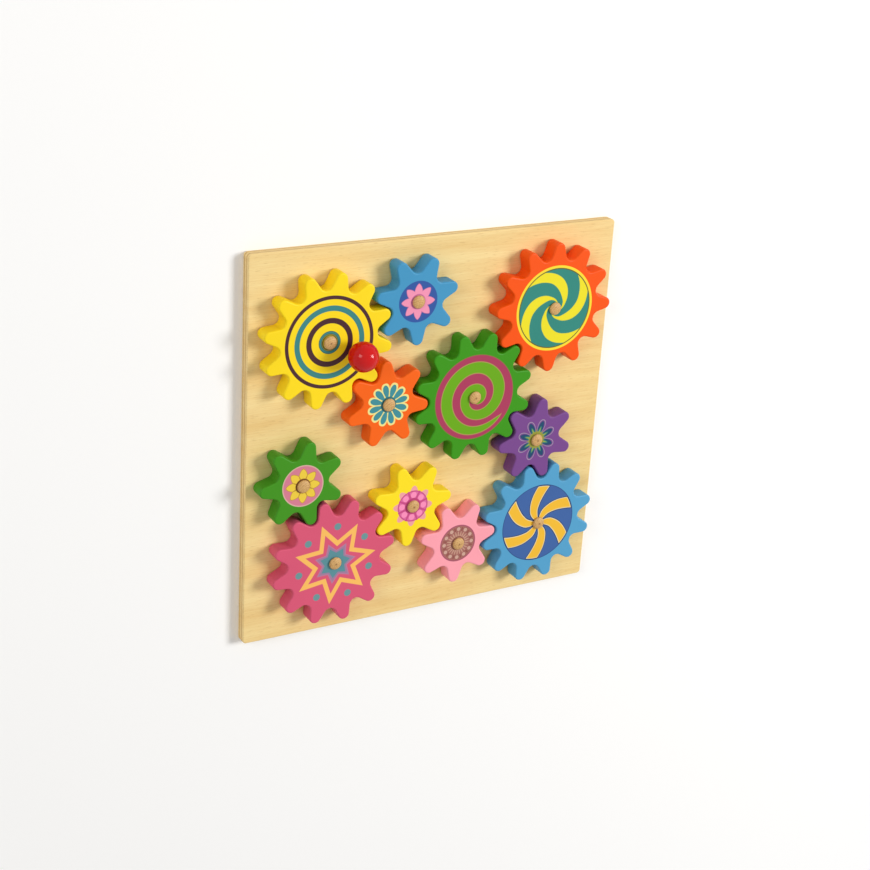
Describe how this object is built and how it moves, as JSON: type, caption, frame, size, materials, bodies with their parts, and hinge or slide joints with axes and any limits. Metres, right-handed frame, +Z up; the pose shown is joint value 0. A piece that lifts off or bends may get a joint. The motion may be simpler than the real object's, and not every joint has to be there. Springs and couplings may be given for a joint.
{
  "type": "wooden crank gear toy",
  "caption": "Square wooden board carrying brightly painted toothed wooden discs on pegs. They mesh in one train that a ball knob on the corner disc turns.",
  "frame": {"origin": "centre of the board's underside", "axes": "+Z up along the gear pegs, +Y to the board's back edge (its top edge when the toy stands up), +X to the right"},
  "size_m": [0.3, 0.3, 0.0475],
  "materials": {
    "birch_board": "clear-sealed, unpainted",
    "yellow_paint": "satin paint with a printed ring pattern",
    "deep_blue_paint": "satin paint with a printed flower",
    "orange_paint": "satin paint with a printed pattern",
    "green_paint": "satin paint with a printed pattern",
    "purple_paint": "satin paint with a printed flower",
    "sky_blue_paint": "satin paint with a printed pinwheel",
    "pink_paint": "satin paint with a printed rosette",
    "magenta_paint": "satin paint with a printed star",
    "beech_pegs": "sanded, unpainted",
    "red_lacquer": "high-gloss lacquer"
  },
  "bodies": {
    "board": {"base_board": "birch_board", "yellow_crank_peg": "beech_pegs", "blue_small_peg": "beech_pegs", "orange_small_peg": "beech_pegs", "green_large_peg": "beech_pegs", "orange_large_peg": "beech_pegs", "purple_small_peg": "beech_pegs", "blue_large_peg": "beech_pegs", "pink_small_peg": "beech_pegs", "yellow_small_peg": "beech_pegs", "magenta_large_peg": "beech_pegs", "green_small_peg": "beech_pegs"},
    "yellow_crank_gear": {"yellow_crank_gear": "yellow_paint", "knob_dowel": "beech_pegs", "crank_knob": "red_lacquer"},
    "blue_small_gear": {"blue_small_gear": "deep_blue_paint"},
    "orange_small_gear": {"orange_small_gear": "orange_paint"},
    "green_large_gear": {"green_large_gear": "green_paint"},
    "orange_large_gear": {"orange_large_gear": "orange_paint"},
    "purple_small_gear": {"purple_small_gear": "purple_paint"},
    "blue_large_gear": {"blue_large_gear": "sky_blue_paint"},
    "pink_small_gear": {"pink_small_gear": "pink_paint"},
    "yellow_small_gear": {"yellow_small_gear": "yellow_paint"},
    "magenta_large_gear": {"magenta_large_gear": "magenta_paint"},
    "green_small_gear": {"green_small_gear": "green_paint"}
  },
  "joints": [
    {"name": "crank_turn", "type": "hinge", "parent": "board", "child": "yellow_crank_gear", "pos_m": [-0.0935, 0.085, 0.016], "axis": [0, 0, 1], "continuous": true},
    {"name": "blue_small_turn", "type": "hinge", "parent": "board", "child": "blue_small_gear", "pos_m": [-0.02445, 0.10743, 0.016], "axis": [0, 0, 1], "continuous": true},
    {"name": "orange_small_turn", "type": "hinge", "parent": "board", "child": "orange_small_gear", "pos_m": [-0.04445, 0.03147, 0.016], "axis": [0, 0, 1], "continuous": true},
    {"name": "green_large_turn", "type": "hinge", "parent": "board", "child": "green_large_gear", "pos_m": [0.02801, 0.02704, 0.016], "axis": [0, 0, 1], "continuous": true},
    {"name": "orange_large_turn", "type": "hinge", "parent": "board", "child": "orange_large_gear", "pos_m": [0.09275, 0.08956, 0.016], "axis": [0, 0, 1], "continuous": true},
    {"name": "purple_small_turn", "type": "hinge", "parent": "board", "child": "purple_small_gear", "pos_m": [0.08637, -0.01614, 0.016], "axis": [0, 0, 1], "continuous": true},
    {"name": "blue_large_turn", "type": "hinge", "parent": "board", "child": "blue_large_gear", "pos_m": [0.09459, -0.08828, 0.016], "axis": [0, 0, 1], "continuous": true},
    {"name": "pink_small_turn", "type": "hinge", "parent": "board", "child": "pink_small_gear", "pos_m": [0.02213, -0.09271, 0.016], "axis": [0, 0, 1], "continuous": true},
    {"name": "yellow_small_turn", "type": "hinge", "parent": "board", "child": "yellow_small_gear", "pos_m": [-0.01956, -0.05383, 0.016], "axis": [0, 0, 1], "continuous": true},
    {"name": "magenta_large_turn", "type": "hinge", "parent": "board", "child": "magenta_large_gear", "pos_m": [-0.08306, -0.08903, 0.016], "axis": [0, 0, 1], "continuous": true},
    {"name": "green_small_turn", "type": "hinge", "parent": "board", "child": "green_small_gear", "pos_m": [-0.11084, -0.02196, 0.016], "axis": [0, 0, 1], "continuous": true}
  ],
  "couplings": [
    {"joint": "blue_small_turn", "follows": "crank_turn", "ratio": -1.7143},
    {"joint": "orange_small_turn", "follows": "crank_turn", "ratio": -1.7143},
    {"joint": "green_large_turn", "follows": "crank_turn", "ratio": 1},
    {"joint": "orange_large_turn", "follows": "crank_turn", "ratio": -1},
    {"joint": "purple_small_turn", "follows": "crank_turn", "ratio": -1.7143},
    {"joint": "blue_large_turn", "follows": "crank_turn", "ratio": 1},
    {"joint": "pink_small_turn", "follows": "crank_turn", "ratio": -1.7143},
    {"joint": "yellow_small_turn", "follows": "crank_turn", "ratio": 1.7143},
    {"joint": "magenta_large_turn", "follows": "crank_turn", "ratio": -1},
    {"joint": "green_small_turn", "follows": "crank_turn", "ratio": 1.7143}
  ]
}
